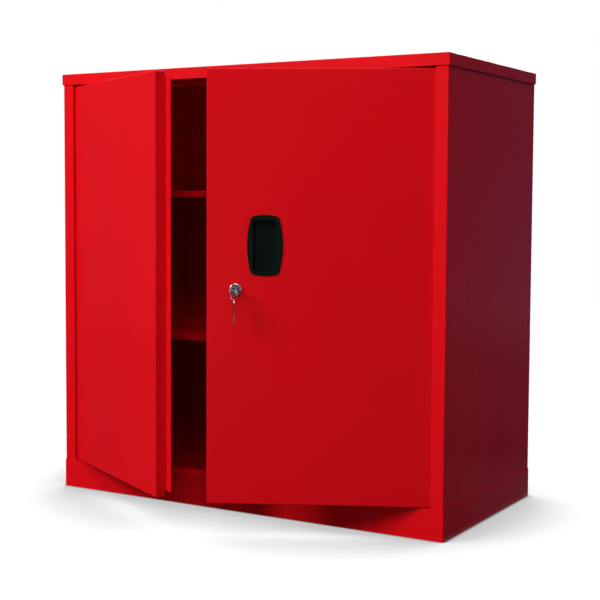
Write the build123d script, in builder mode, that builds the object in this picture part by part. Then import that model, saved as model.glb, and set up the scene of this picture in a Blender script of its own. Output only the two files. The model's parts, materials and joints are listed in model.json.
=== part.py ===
from build123d import *

import os
from math import cos, radians, sin
from typing import NamedTuple

# A low, free-standing steel storage cabinet with two doors.
# Millimetres, +Z up, front towards -Y. The origin is the middle of the footprint, on the floor.

# Overall size, over the cap
WIDTH = 915.0
DEPTH = 457.0
HEIGHT = 907.0

# Sheet metal
SHEET = 1.2
BEND_R = 1.5  # outer radius of a visible bend

# Cap
CAP_SKIRT = 23.0
CAP_FIT = 1.3  # between the skirt and the body

# Body shell
POST_W = 26.0
REAR_FLANGE = 15.0
TOP_FLANGE = 15.0

# Plinth and bottom
PLINTH_H = 60.0
PLINTH_FOOT = 20.0
FLOOR_LIFT = 10.0

# Doors
DOOR_DEPTH = 20.0
DOOR_LIP = 12.0
DOOR_CORNER_R = 2.6
HINGE_GAP = 2.5
MEETING_GAP = 3.0
DOOR_BOTTOM_GAP = 1.5
DOOR_TOP_GAP = 4.0
STOP_GAP = 4.0  # between a closed door and the rails
HEADER_OVERLAP = 7.0
SILL_OVERLAP = 8.5
LEFT_OPEN = 29.3  # degrees that each door stands open at rest
RIGHT_OPEN = 27.0  # degrees

# Strip on the left door that goes behind the right one
STRIP_REACH = 22.0
STRIP_BASE = 14.0
STRIP_GAP = 1.5  # behind the right door's edge
STRIP_END_GAP = 4.0  # to the sill and the header

# Pivots
PIVOT_INSET = 10.0  # from the door's hinge edge
PIVOT_SETBACK = 7.0  # behind the door's face
PIN_D = 8.0
PIN_CLEAR = 0.05
PIN_HEAD_D = 11.0
PIN_HEAD_T = 2.0
PIN_REACH = 8.0  # into the door
BUSH_OD = 11.0
BUSH_LENGTH = 7.0
BUSH_FLANGE_D = 13.0
BUSH_FLANGE_T = 1.3
PIVOT_PLATE_T = 3.0
PIVOT_PLATE_W = 32.0
PIVOT_FLANGE = 15.0
TOP_BRACKET_GAP = 0.5  # above the skirt's lower edge

# Rubber buffers on the rails
BUFFER_D = 6.0
BUFFER_T = 3.7
BUFFER_X = 75.0

# Door stiffeners
HAT_W = 40.0
HAT_FOOT = 15.0
HAT_SHARE = 0.5  # of the left door's width
HAT_SHARE_RIGHT = 0.36  # of the right door's width, from its hinge edge
STIFFENER_END_GAP = 2.0
LOCK_CHANNEL_W = 45.0

# Uprights and shelves
UPRIGHT_W = 30.0
UPRIGHT_D = 8.0
UPRIGHT_T = 1.5
UPRIGHT_TOP = 845.0
UPRIGHT_REAR_GAP = 6.0
UPRIGHT_FRONT_GAP = 8.0
SLOT_W = 10.0
SLOT_H = 22.0
SLOT_R = 1.5
SLOT_PITCH = 50.8
SLOT_FIRST = 36.0  # above the floor pan
SHELF_SLOTS = (6, 12)
SHELF_T = 1.2
SHELF_LIP = 13.5
SHELF_RETURN = 10.0
SHELF_DROP = 1.5  # shelf top below the middle of its slot
SHELF_SETBACK = 60.0
SHELF_D = 364.0
SHELF_END_GAP = 0.5
HANGER_T = 1.8
HANGER_FOOT = 12.0
HANGER_BACK = 9.0
HANGER_REACH = 60.0
HANGER_RISE = 77.0
HANGER_TOP = 11.0
HANGER_STEP = 4.0
HOOK_W = 6.5
HOOK_H = 12.0
HOOK_T = 1.5
HOOK_DROP = 6.0
HOOK_CLEAR = 0.2

# Flush handle
HANDLE_IN = 109.8  # from the right door's free edge
HANDLE_Z = 551.7
HANDLE_W = 67.6
HANDLE_H = 115.2
HANDLE_CORNER_W = 52.4
HANDLE_CORNER_H = 106.4
HANDLE_CORNER_R = 6.5
HANDLE_RIM = 1.8
HANDLE_RIM_R = 1.2
HANDLE_SHOULDER = 3.0
HANDLE_FIT = 0.4
HANDLE_BODY_D = 17.0
POCKET_W = 42.0
POCKET_SHIFT = 2.0  # towards the door's free edge
POCKET_H = 96.0
POCKET_R = 6.0
POCKET_D = 15.5
POCKET_DRAFT = 4.0
RAMP_INSET = 5.5  # from the handle's outline
RAMP_FOOT = 15.0  # ramp's deep edge, from the handle's middle towards the hinge
RAMP_D = 10.0  # ramp's depth there
RAMP_HEAD = 29.5  # where the ramp's slope meets the rim's front

# Lock
LOCK_PAST_HANDLE = 55.3  # nearer to the free edge than the handle
LOCK_BELOW_HANDLE = 83.1
LOCK_FACE_D = 22.6
LOCK_FACE_T = 3.0
LOCK_DISH_D = 17.6
LOCK_DISH = 1.2
LOCK_BODY_D = 18.6
LOCK_BODY_L = 21.0
LOCK_FIT = 0.2
NUT_AF = 24.0
NUT_T = 4.0
NUT_CLEAR = 0.05
BARREL_D = 13.9
BARREL_CLEAR = 0.05
BARREL_PROUD = 0.2
KEYWAY_W = 8.0
KEYWAY_T = 2.6
KEYWAY_D = 16.0
DRIVE_SIDE = 6.0
DRIVE_CLEAR = 0.05
KEY_TILT = 20.0  # degrees that the key still has to turn to the fully open stop
CAM_THROW = 45.0  # degrees that the cam's pins go above and below level
CAM_R = 15.0
CAM_W = 12.0
CAM_T = 2.0
CAM_GAP = 0.5
CAM_PIN_D = 5.0
CAM_PIN_TAIL = 1.0  # behind the rods
SCREW_D = 4.0
SCREW_L = 6.0
SCREW_HEAD_D = 9.8
SCREW_HEAD_T = 2.0

# Rods
ROD_W = 12.0
ROD_T = 3.0
ROD_RAIL_GAP = 0.8  # between the back of the rails and the rods
ROD_END_GAP = 2.0  # to the header and to the sill at rest
ROD_PIN_CLEAR = 0.9
YOKE_SIDE_CLEAR = 0.4
YOKE_WALL = 1.7
YOKE_RIM = 4.0
GUIDE_H = 18.0
GUIDE_WALL = 2.0
GUIDE_EAR = 7.0
GUIDE_CLEAR = 0.3
GUIDE_END = 36.0  # from the door's top and bottom edges
GUIDE_SCREW_D = 3.0
GUIDE_SCREW_HEAD_D = 5.5
GUIDE_SCREW_HEAD_T = 1.8
GUIDE_SCREW_PITCH = 10.0
GUIDE_SCREW_TAIL = 1.5

# Keys and ring
KEY_T = 2.2
KEY_BOW_W = 18.0
KEY_BOW_L = 20.0
KEY_BOW_R = 5.0
KEY_BOW_OUT = 16.0  # bow's middle in front of the door's face
KEY_HOLE_W = 11.4
KEY_HOLE_L = 8.8
KEY_HOLE_R = 2.0
KEY_RIM = 2.4
KEY_BLADE_W = 7.6
KEY_BLADE_L = 15.0
KEY_NECK_W = 8.0
RING_R = 11.2
RING_WIRE = 1.6
RING_CLEAR = 0.6  # from the wire down to the bow, on the bow's level
RING_TWIST = 36.0
SPARE_T = 2.0
SPARE_BOW_D = 18.0
SPARE_HOLE_D = 8.4
SPARE_RIM = 2.2
SPARE_BLADE_W = 7.0
SPARE_BLADE_L = 28.0
SPARE_SLACK = 1.7  # hole's middle below the ring's wire
SPARE_TWIST = 84.0
NOTCH = 1.4
NOTCH_PITCH = 4.0
NOTCH_COUNT = 5

# Derived places
BODY_W = WIDTH - 2 * (SHEET + CAP_FIT)
BODY_D = DEPTH - 2 * (SHEET + CAP_FIT)
BODY_TOP = HEIGHT - SHEET
FRONT = -BODY_D / 2
REAR = BODY_D / 2
INNER_X = BODY_W / 2 - SHEET
FLOOR_TOP = FLOOR_LIFT + SHEET
OPENING_W = BODY_W - 2 * POST_W
RAIL_SETBACK = DOOR_DEPTH + STOP_GAP
RAIL_Y = FRONT + RAIL_SETBACK
SKIRT_BOTTOM = HEIGHT - CAP_SKIRT
DOOR_W = (OPENING_W - 2 * HINGE_GAP - MEETING_GAP) / 2
DOOR_BOTTOM = PLINTH_H + DOOR_BOTTOM_GAP
DOOR_TOP = SKIRT_BOTTOM - DOOR_TOP_GAP
DOOR_H = DOOR_TOP - DOOR_BOTTOM
DOOR_MID_Z = (DOOR_TOP + DOOR_BOTTOM) / 2
HAT_U = DOOR_W * HAT_SHARE
HAT_U_RIGHT = DOOR_W * HAT_SHARE_RIGHT
HANDLE_U = DOOR_W - HANDLE_IN
LOCK_U = HANDLE_U + LOCK_PAST_HANDLE
LOCK_Z = HANDLE_Z - LOCK_BELOW_HANDLE
HEADER_BOTTOM = DOOR_TOP - HEADER_OVERLAP
SILL_TOP = DOOR_BOTTOM + SILL_OVERLAP
AXIS_X = OPENING_W / 2 - HINGE_GAP - PIVOT_INSET
AXIS_Y = FRONT + PIVOT_SETBACK
STIFFENER_BOTTOM = DOOR_BOTTOM + DOOR_LIP + STIFFENER_END_GAP
STIFFENER_TOP = DOOR_TOP - DOOR_LIP - STIFFENER_END_GAP
WEB_X = INNER_X - UPRIGHT_D
REAR_UPRIGHT_Y = REAR - 2 * SHEET - UPRIGHT_REAR_GAP - UPRIGHT_W / 2
FRONT_UPRIGHT_Y = RAIL_Y + SHEET + UPRIGHT_FRONT_GAP + UPRIGHT_W / 2
FIRST_SLOT_Z = FLOOR_TOP + SLOT_FIRST
SLOT_COUNT = int((UPRIGHT_TOP - FIRST_SLOT_Z - SLOT_H / 2) / SLOT_PITCH) + 1
SHELF_W = 2 * (WEB_X - HANGER_T - SHELF_END_GAP)
SHELF_Y = FRONT + SHELF_SETBACK + SHELF_D / 2
CAM_REST = CAM_THROW - KEY_TILT  # pins' angle off level at rest
CAM_FRONT = LOCK_BODY_L + CAM_GAP
ROD_DEPTH = RAIL_SETBACK + SHEET + ROD_RAIL_GAP  # front of the rods, behind the door's face
CAM_PIN_L = ROD_DEPTH + ROD_T + CAM_PIN_TAIL - CAM_FRONT - CAM_T
GUIDE_T = ROD_DEPTH + ROD_T + GUIDE_CLEAR + GUIDE_WALL - DOOR_DEPTH
ROD_OFFSET = CAM_R * (1 + cos(radians(CAM_THROW))) / 2
YOKE_SLOT_W = CAM_R * (1 - cos(radians(CAM_THROW))) + CAM_PIN_D + 2 * YOKE_SIDE_CLEAR
YOKE_SLOT_H = CAM_PIN_D + 2 * ROD_PIN_CLEAR
GUIDE_Z = (DOOR_BOTTOM + GUIDE_END, DOOR_TOP - GUIDE_END)

os.makedirs("parts", exist_ok=True)


class Door(NamedTuple):
    """One door: side is -1 for left and 1 for right, swing is how far it stands open."""

    side: int
    swing: float

    @property
    def along(self) -> Vector:
        """Direction across the door that points to +X when it is closed."""
        angle = radians(self.side * self.swing)
        return Vector(cos(angle), sin(angle), 0)

    @property
    def inward(self) -> Vector:
        """Direction from the door's face into the cabinet."""
        angle = radians(self.side * self.swing)
        return Vector(-sin(angle), cos(angle), 0)

    @property
    def axis(self) -> Vector:
        """A point on the pivot line, at floor height."""
        return Vector(self.side * AXIS_X, AXIS_Y, 0)

    def across(self, from_hinge: float) -> float:
        """Sketch X of a point that lies this far from the door's hinge edge."""
        return self.side * (PIVOT_INSET - from_hinge)

    def plan(self, height: float) -> Plane:
        """Level plane through the door: X across it, Y into it, origin on the pivot line."""
        return Plane(self.axis + Vector(0, 0, height), x_dir=self.along, z_dir=(0, 0, 1))

    def face(self, depth: float) -> Plane:
        """Upright plane parallel to the door's face, this far behind it, facing out."""
        origin = self.axis + self.inward * (depth - PIVOT_SETBACK)
        return Plane(origin, x_dir=self.along, z_dir=self.inward * -1)


LEFT = Door(-1, LEFT_OPEN)
RIGHT = Door(1, RIGHT_OPEN)
LEFT_SHUT = Door(-1, 0)
RIGHT_SHUT = Door(1, 0)
LOCK_S = RIGHT.across(LOCK_U)
HANDLE_S = RIGHT.across(HANDLE_U)


def stood_open(part: Part, door: Door) -> Part:
    """Turn a piece that was made with its door shut to where the door stands."""
    return part.rotate(Axis(door.axis, (0, 0, 1)), door.side * door.swing)


def save(part: Part, label: str) -> None:
    """Label a finished piece and write it to its own file."""
    part.label = label
    export_step(part, f"parts/{label}.step")


def into(depth: float) -> float:
    """Sketch Y on a door's plan plane of a point this far behind the door's face."""
    return depth - PIVOT_SETBACK


# Plinth: a folded band with a foot that turns in along the floor
with BuildPart() as plinth:
    with BuildSketch(Plane.XY):
        Rectangle(BODY_W + 2 * SHEET, BODY_D + 2 * SHEET)
    extrude(amount=PLINTH_H)
    fillet(plinth.edges().filter_by(Axis.Z), BEND_R)
    with BuildSketch(Plane.XY.offset(SHEET)):
        Rectangle(BODY_W, BODY_D)
    extrude(amount=PLINTH_H, mode=Mode.SUBTRACT)
    with BuildSketch(Plane.XY):
        Rectangle(BODY_W - 2 * PLINTH_FOOT, BODY_D - 2 * PLINTH_FOOT)
    extrude(amount=SHEET, mode=Mode.SUBTRACT)
save(plinth.part, "plinth")

# Floor pan: flat sheet held inside the plinth
with BuildPart() as floor_pan:
    with BuildSketch(Plane.XY.offset(FLOOR_LIFT)):
        Rectangle(BODY_W, BODY_D)
    extrude(amount=SHEET)
save(floor_pan.part, "floor_pan")


def side_panel(side: int) -> Part:
    """Folded side: outer skin, front post with its inner return, rear flange and top flange."""
    outer = side * BODY_W / 2
    with BuildPart() as panel:
        with BuildSketch(Plane.XY.offset(FLOOR_TOP)):
            with Locations((outer - side * SHEET / 2, 0)):
                Rectangle(SHEET, BODY_D)
            with Locations((outer - side * POST_W / 2, FRONT + SHEET / 2)):
                Rectangle(POST_W, SHEET)
            with Locations((outer - side * (POST_W - SHEET / 2), FRONT + RAIL_SETBACK / 2)):
                Rectangle(SHEET, RAIL_SETBACK)
            with Locations((outer - side * REAR_FLANGE / 2, REAR - SHEET / 2)):
                Rectangle(REAR_FLANGE, SHEET)
        extrude(amount=BODY_TOP - FLOOR_TOP)
        with BuildSketch(Plane.XY.offset(BODY_TOP - SHEET)):
            with Locations((outer - side * TOP_FLANGE / 2, (RAIL_Y + REAR) / 2 + SHEET / 2)):
                Rectangle(TOP_FLANGE, REAR - RAIL_Y - 5 * SHEET)
        extrude(amount=SHEET)
        corners = panel.edges().filter_by(Axis.Z).group_by(Axis.X)[0 if side < 0 else -1]
        fillet(corners, BEND_R)
        post_edge = (
            panel.edges()
            .filter_by(Axis.Z)
            .filter_by_position(Axis.Y, FRONT - SHEET / 2, FRONT + SHEET / 2)
            .sort_by(Axis.X)[-1 if side < 0 else 0]
        )
        fillet(post_edge, BEND_R * 0.7)
    return panel.part


left_side_panel = side_panel(-1)
save(left_side_panel, "left_side_panel")
right_side_panel = side_panel(1)
save(right_side_panel, "right_side_panel")

# Back panel: flat sheet in front of the side panels' rear flanges
with BuildPart() as back_panel:
    with BuildSketch(Plane.XZ.offset(-(REAR - SHEET))):
        with Locations((0, (FLOOR_TOP + BODY_TOP) / 2)):
            Rectangle(2 * INNER_X, BODY_TOP - FLOOR_TOP)
    extrude(amount=SHEET)
save(back_panel.part, "back_panel")

# Cap: a folded lid with a skirt on four sides
with BuildPart() as top_cap:
    with BuildSketch(Plane.XY.offset(SKIRT_BOTTOM)):
        Rectangle(WIDTH, DEPTH)
    extrude(amount=CAP_SKIRT)
    fillet(top_cap.edges().filter_by(Axis.Z), BEND_R)
    fillet(top_cap.faces().sort_by(Axis.Z)[-1].edges(), BEND_R)
    with BuildSketch(Plane.XY.offset(SKIRT_BOTTOM)):
        Rectangle(WIDTH - 2 * SHEET, DEPTH - 2 * SHEET)
    extrude(amount=CAP_SKIRT - SHEET, mode=Mode.SUBTRACT)
save(top_cap.part, "top_cap")

# Header: an angle under the cap that the doors' top edges close against
with BuildPart() as header_rail:
    with BuildSketch(Plane.YZ.offset(-INNER_X)):
        with Locations((RAIL_Y + SHEET / 2, (HEADER_BOTTOM + BODY_TOP) / 2)):
            Rectangle(SHEET, BODY_TOP - HEADER_BOTTOM)
    extrude(amount=2 * INNER_X)
    with BuildSketch(Plane.XY.offset(BODY_TOP - SHEET)):
        with Locations((0, RAIL_Y + SHEET + TOP_FLANGE / 2)):
            Rectangle(2 * (INNER_X - TOP_FLANGE), TOP_FLANGE)
    extrude(amount=SHEET)
save(header_rail.part, "header_rail")

# Sill: front leg behind the plinth, level ledge under the doors, upstand behind them
with BuildPart() as sill_rail:
    with BuildSketch(Plane.YZ.offset(-OPENING_W / 2)):
        with Locations((FRONT + SHEET / 2, (FLOOR_TOP + PLINTH_H) / 2)):
            Rectangle(SHEET, PLINTH_H - FLOOR_TOP)
        with Locations((FRONT + (RAIL_SETBACK + SHEET) / 2, PLINTH_H - SHEET / 2)):
            Rectangle(RAIL_SETBACK + SHEET, SHEET)
        with Locations((RAIL_Y + SHEET / 2, (PLINTH_H - SHEET + SILL_TOP) / 2)):
            Rectangle(SHEET, SILL_TOP - PLINTH_H + SHEET)
    extrude(amount=OPENING_W)
    with BuildSketch(Plane.XY.offset(PLINTH_H - SHEET)):
        with Locations((-AXIS_X, AXIS_Y), (AXIS_X, AXIS_Y)):
            Circle(PIN_D / 2 + PIN_CLEAR)
    extrude(amount=SHEET, mode=Mode.SUBTRACT)
save(sill_rail.part, "sill_rail")


def uprights(side: int) -> Part:
    """Front and rear slotted channels of one side, open towards the side panel."""
    inner = side * WEB_X
    middle = side * (WEB_X + UPRIGHT_D / 2)
    spots = [FRONT_UPRIGHT_Y, REAR_UPRIGHT_Y]
    with BuildPart() as pair:
        with BuildSketch(Plane.XY.offset(FLOOR_TOP)):
            with Locations(*[(inner + side * UPRIGHT_T / 2, y) for y in spots]):
                Rectangle(UPRIGHT_T, UPRIGHT_W)
            for end in (-1, 1):
                offset_y = end * (UPRIGHT_W - UPRIGHT_T) / 2
                with Locations(*[(middle, y + offset_y) for y in spots]):
                    Rectangle(UPRIGHT_D, UPRIGHT_T)
        extrude(amount=UPRIGHT_TOP - FLOOR_TOP)
        slot_z = [FIRST_SLOT_Z + SLOT_PITCH * k for k in range(SLOT_COUNT)]
        with BuildSketch(Plane.YZ.offset(inner - side * SHEET)):
            with Locations(*[(y, z) for y in spots for z in slot_z]):
                RectangleRounded(SLOT_W, SLOT_H, SLOT_R)
        extrude(amount=side * (UPRIGHT_T + SHEET), mode=Mode.SUBTRACT)
    return pair.part


save(uprights(-1), "left_uprights")
save(uprights(1), "right_uprights")


def shelf_top(slot: int) -> float:
    """Height of a shelf's top face for the slot that its hangers hook into."""
    return FIRST_SLOT_Z + SLOT_PITCH * slot - SHELF_DROP


def shelf(slot: int) -> Part:
    """Folded shelf: flat top, a lip on four sides and a return under each lip."""
    top = shelf_top(slot)
    with BuildPart() as tray:
        with BuildSketch(Plane.XY.offset(top - SHELF_LIP)):
            with Locations((0, SHELF_Y)):
                Rectangle(SHELF_W, SHELF_D)
        extrude(amount=SHELF_LIP)
        fillet(tray.faces().sort_by(Axis.Z)[-1].edges(), BEND_R)
        with BuildSketch(Plane.XY.offset(top - SHELF_LIP + SHELF_T)):
            with Locations((0, SHELF_Y)):
                Rectangle(SHELF_W - 2 * SHELF_T, SHELF_D - 2 * SHELF_T)
        extrude(amount=SHELF_LIP - 2 * SHELF_T, mode=Mode.SUBTRACT)
        with BuildSketch(Plane.XY.offset(top - SHELF_LIP)):
            with Locations((0, SHELF_Y)):
                Rectangle(SHELF_W - 2 * SHELF_RETURN, SHELF_D - 2 * SHELF_RETURN)
        extrude(amount=SHELF_T, mode=Mode.SUBTRACT)
    return tray.part


def hangers(slot: int) -> Part:
    """Four end brackets of one shelf: a plate that hooks into two slots, and a foot for the shelf."""
    slot_z = FIRST_SLOT_Z + SLOT_PITCH * slot
    top = shelf_top(slot)
    foot_top = top - SHELF_LIP
    foot_bottom = foot_top - HANGER_T
    with BuildPart() as group:
        for side in (-1, 1):
            for end, y in ((-1, FRONT_UPRIGHT_Y), (1, REAR_UPRIGHT_Y)):
                near, far = y + end * HANGER_BACK, y - end * HANGER_REACH
                with BuildSketch(Plane.YZ.offset(side * WEB_X)):
                    with BuildLine():
                        Polyline(
                            (near, foot_bottom),
                            (near, slot_z + HANGER_RISE),
                            (near - end * HANGER_TOP, slot_z + HANGER_RISE),
                            (far, top + HANGER_STEP),
                            (far, foot_bottom),
                            close=True,
                        )
                    make_face()
                extrude(amount=-side * HANGER_T)
                with BuildSketch(Plane.XY.offset(foot_bottom)):
                    with Locations((side * (WEB_X - HANGER_T - HANGER_FOOT / 2), (near + far) / 2)):
                        Rectangle(HANGER_FOOT, abs(near - far))
                extrude(amount=HANGER_T)
                for step in (0, 1):
                    hook_bottom = slot_z + SLOT_PITCH * step - SLOT_H / 2
                    with BuildSketch(Plane.YZ.offset(side * WEB_X)):
                        with Locations((y, hook_bottom + HOOK_H / 2)):
                            Rectangle(HOOK_W, HOOK_H)
                    extrude(amount=side * (UPRIGHT_T + HOOK_CLEAR + HOOK_T))
                    with BuildSketch(Plane.YZ.offset(side * (WEB_X + UPRIGHT_T + HOOK_CLEAR))):
                        with Locations((y, hook_bottom + (HOOK_H - HOOK_DROP) / 2)):
                            Rectangle(HOOK_W, HOOK_H + HOOK_DROP)
                    extrude(amount=side * HOOK_T)
    return group.part


lower_slot, upper_slot = SHELF_SLOTS
save(shelf(lower_slot), "lower_shelf")
save(shelf(upper_slot), "upper_shelf")
save(hangers(lower_slot), "lower_shelf_hangers")
save(hangers(upper_slot), "upper_shelf_hangers")

# Pivot brackets at the top: an angle on the header with a hole for the pin
PLATE_X = OPENING_W / 2 - PIVOT_PLATE_W / 2
PLATE_Y = FRONT + (SHEET + RAIL_SETBACK) / 2
FLANGE_Y = RAIL_Y - PIVOT_PLATE_T / 2
TOP_PLATE_Z = SKIRT_BOTTOM + TOP_BRACKET_GAP
with BuildPart() as top_pivot_brackets:
    with BuildSketch(Plane.XY.offset(TOP_PLATE_Z)):
        with Locations((-PLATE_X, PLATE_Y), (PLATE_X, PLATE_Y)):
            Rectangle(PIVOT_PLATE_W, RAIL_SETBACK - SHEET)
    extrude(amount=PIVOT_PLATE_T)
    with BuildSketch(Plane.XY.offset(TOP_PLATE_Z + PIVOT_PLATE_T)):
        with Locations((-PLATE_X, FLANGE_Y), (PLATE_X, FLANGE_Y)):
            Rectangle(PIVOT_PLATE_W, PIVOT_PLATE_T)
    extrude(amount=PIVOT_FLANGE)
    with BuildSketch(Plane.XY.offset(TOP_PLATE_Z)):
        with Locations((-AXIS_X, AXIS_Y), (AXIS_X, AXIS_Y)):
            Circle(PIN_D / 2)
    extrude(amount=PIVOT_PLATE_T, mode=Mode.SUBTRACT)
save(top_pivot_brackets.part, "top_pivot_brackets")

# Pivot plates at the bottom, under the sill's ledge
BOTTOM_PLATE_Z = PLINTH_H - SHEET - PIVOT_PLATE_T
with BuildPart() as bottom_pivot_plates:
    with BuildSketch(Plane.XY.offset(BOTTOM_PLATE_Z)):
        with Locations((-PLATE_X, PLATE_Y), (PLATE_X, PLATE_Y)):
            Rectangle(PIVOT_PLATE_W, RAIL_SETBACK - SHEET)
    extrude(amount=PIVOT_PLATE_T)
    with BuildSketch(Plane.XY.offset(BOTTOM_PLATE_Z)):
        with Locations((-AXIS_X, AXIS_Y), (AXIS_X, AXIS_Y)):
            Circle(PIN_D / 2)
    extrude(amount=PIVOT_PLATE_T, mode=Mode.SUBTRACT)
save(bottom_pivot_plates.part, "bottom_pivot_plates")

# Pivot pins: headed, riveted through their plates, one at each end of each door
with BuildPart() as pivot_pins:
    for low, high, head in (
        (BOTTOM_PLATE_Z, DOOR_BOTTOM + PIN_REACH, BOTTOM_PLATE_Z - PIN_HEAD_T),
        (DOOR_TOP - PIN_REACH, TOP_PLATE_Z + PIVOT_PLATE_T, TOP_PLATE_Z + PIVOT_PLATE_T),
    ):
        with BuildSketch(Plane.XY.offset(low)):
            with Locations((-AXIS_X, AXIS_Y), (AXIS_X, AXIS_Y)):
                Circle(PIN_D / 2)
        extrude(amount=high - low)
        with BuildSketch(Plane.XY.offset(head)):
            with Locations((-AXIS_X, AXIS_Y), (AXIS_X, AXIS_Y)):
                Circle(PIN_HEAD_D / 2)
        extrude(amount=PIN_HEAD_T)
save(pivot_pins.part, "pivot_pins")

# Rubber buffers on the front of the header and the sill
with BuildPart() as door_buffers:
    with BuildSketch(Plane.XZ.offset(-RAIL_Y)):
        for z in ((HEADER_BOTTOM + DOOR_TOP) / 2, (DOOR_BOTTOM + SILL_TOP) / 2):
            with Locations((-BUFFER_X, z), (BUFFER_X, z)):
                Circle(BUFFER_D / 2)
    extrude(amount=BUFFER_T)
save(door_buffers.part, "door_buffers")


def door_shell(door: Door) -> Part:
    """Folded door tray: face, four returns and a lip round its open back, with holes for the pivots."""
    middle = door.across(DOOR_W / 2)
    with BuildPart() as tray:
        with BuildSketch(door.face(0)):
            with Locations((middle, DOOR_MID_Z)):
                RectangleRounded(DOOR_W, DOOR_H, DOOR_CORNER_R)
        extrude(amount=-DOOR_DEPTH)
        fillet(tray.faces().sort_by(Axis.Y)[0].edges(), BEND_R)
        with BuildSketch(door.face(SHEET)):
            with Locations((middle, DOOR_MID_Z)):
                Rectangle(DOOR_W - 2 * SHEET, DOOR_H - 2 * SHEET)
        extrude(amount=-(DOOR_DEPTH - 2 * SHEET), mode=Mode.SUBTRACT)
        with BuildSketch(door.face(DOOR_DEPTH - SHEET)):
            with Locations((middle, DOOR_MID_Z)):
                Rectangle(DOOR_W - 2 * DOOR_LIP, DOOR_H - 2 * DOOR_LIP)
        extrude(amount=-SHEET, mode=Mode.SUBTRACT)
        for z in (DOOR_BOTTOM, DOOR_TOP - SHEET):
            with BuildSketch(door.plan(z)):
                Circle(BUSH_OD / 2)
            extrude(amount=SHEET, mode=Mode.SUBTRACT)
    return tray.part


def hat_stiffener(door: Door, from_hinge: float) -> Part:
    """Upright hat section welded to the inside of a door's face."""
    middle = door.across(from_hinge)
    back = DOOR_DEPTH - SHEET
    with BuildPart() as hat:
        with BuildSketch(door.plan(STIFFENER_BOTTOM)):
            with Locations((middle, into(back - SHEET / 2))):
                Rectangle(HAT_W, SHEET)
            for end in (-1, 1):
                with Locations((middle + end * (HAT_W - SHEET) / 2, into((SHEET + back) / 2))):
                    Rectangle(SHEET, back - SHEET)
                with Locations((middle + end * (HAT_W + HAT_FOOT) / 2, into(SHEET * 1.5))):
                    Rectangle(HAT_FOOT, SHEET)
        extrude(amount=STIFFENER_TOP - STIFFENER_BOTTOM)
    return hat.part


def bushes(door: Door) -> Part:
    """Flanged nylon bushes in a door's bottom and top returns."""
    with BuildPart() as pair:
        for z, outward in ((DOOR_BOTTOM, -1), (DOOR_TOP, 1)):
            with BuildSketch(door.plan(z)):
                Circle(BUSH_OD / 2)
            extrude(amount=-outward * BUSH_LENGTH)
            with BuildSketch(door.plan(z)):
                Circle(BUSH_FLANGE_D / 2)
            extrude(amount=outward * BUSH_FLANGE_T)
            with BuildSketch(door.plan(z)):
                Circle(PIN_D / 2 + PIN_CLEAR)
            extrude(amount=max(BUSH_LENGTH, BUSH_FLANGE_T), both=True, mode=Mode.SUBTRACT)
    return pair.part


save(stood_open(door_shell(LEFT_SHUT), LEFT), "left_door_panel")
save(hat_stiffener(LEFT, HAT_U), "left_door_stiffener")
save(bushes(LEFT), "left_door_bushes")

# Meeting strip: fixed to the left door's free lip, joggled back to pass behind the right door
STRIP_BOTTOM = SILL_TOP + STRIP_END_GAP
STRIP_TOP = HEADER_BOTTOM - STRIP_END_GAP
with BuildPart() as left_meeting_strip:
    lip = LEFT.across(DOOR_W - STRIP_BASE)
    edge = LEFT.across(DOOR_W)
    with BuildSketch(LEFT.plan(STRIP_BOTTOM)):
        with BuildLine():
            Polyline(
                (lip, into(DOOR_DEPTH)),
                (edge, into(DOOR_DEPTH)),
                (edge, into(DOOR_DEPTH + STRIP_GAP)),
                (edge + STRIP_REACH, into(DOOR_DEPTH + STRIP_GAP)),
                (edge + STRIP_REACH, into(DOOR_DEPTH + STRIP_GAP + SHEET)),
                (edge - SHEET, into(DOOR_DEPTH + STRIP_GAP + SHEET)),
                (edge - SHEET, into(DOOR_DEPTH + SHEET)),
                (lip, into(DOOR_DEPTH + SHEET)),
                close=True,
            )
        make_face()
    extrude(amount=STRIP_TOP - STRIP_BOTTOM)
save(left_meeting_strip.part, "left_meeting_strip")


def handle_outline(door: Door, depth: float, inset: float) -> Sketch:
    """Outline of the flush handle: four bowed sides with rounded corners, drawn in by inset."""
    left = HANDLE_S - HANDLE_CORNER_W / 2 + inset
    right = HANDLE_S + HANDLE_CORNER_W / 2 - inset
    low = HANDLE_Z - HANDLE_CORNER_H / 2 + inset
    high = HANDLE_Z + HANDLE_CORNER_H / 2 - inset
    bow_w, bow_h = HANDLE_W / 2 - inset, HANDLE_H / 2 - inset
    with BuildSketch(door.face(depth)) as outline:
        with BuildLine():
            ThreePointArc((left, low), (HANDLE_S - bow_w, HANDLE_Z), (left, high))
            ThreePointArc((left, high), (HANDLE_S, HANDLE_Z + bow_h), (right, high))
            ThreePointArc((right, high), (HANDLE_S + bow_w, HANDLE_Z), (right, low))
            ThreePointArc((right, low), (HANDLE_S, HANDLE_Z - bow_h), (left, low))
        make_face()
        fillet(outline.vertices(), HANDLE_CORNER_R - inset)
    return outline.sketch


# Right door: the same tray with openings for the handle and the lock
with BuildPart() as right_door_panel:
    add(door_shell(RIGHT_SHUT))
    extrude(handle_outline(RIGHT_SHUT, 0, HANDLE_SHOULDER - HANDLE_FIT), amount=-SHEET, mode=Mode.SUBTRACT)
    with BuildSketch(RIGHT_SHUT.face(0)):
        with Locations((LOCK_S, LOCK_Z)):
            Circle(LOCK_BODY_D / 2 + LOCK_FIT)
    extrude(amount=-SHEET, mode=Mode.SUBTRACT)
save(stood_open(right_door_panel.part, RIGHT), "right_door_panel")
save(hat_stiffener(RIGHT, HAT_U_RIGHT), "right_door_stiffener")
save(bushes(RIGHT), "right_door_bushes")

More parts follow.
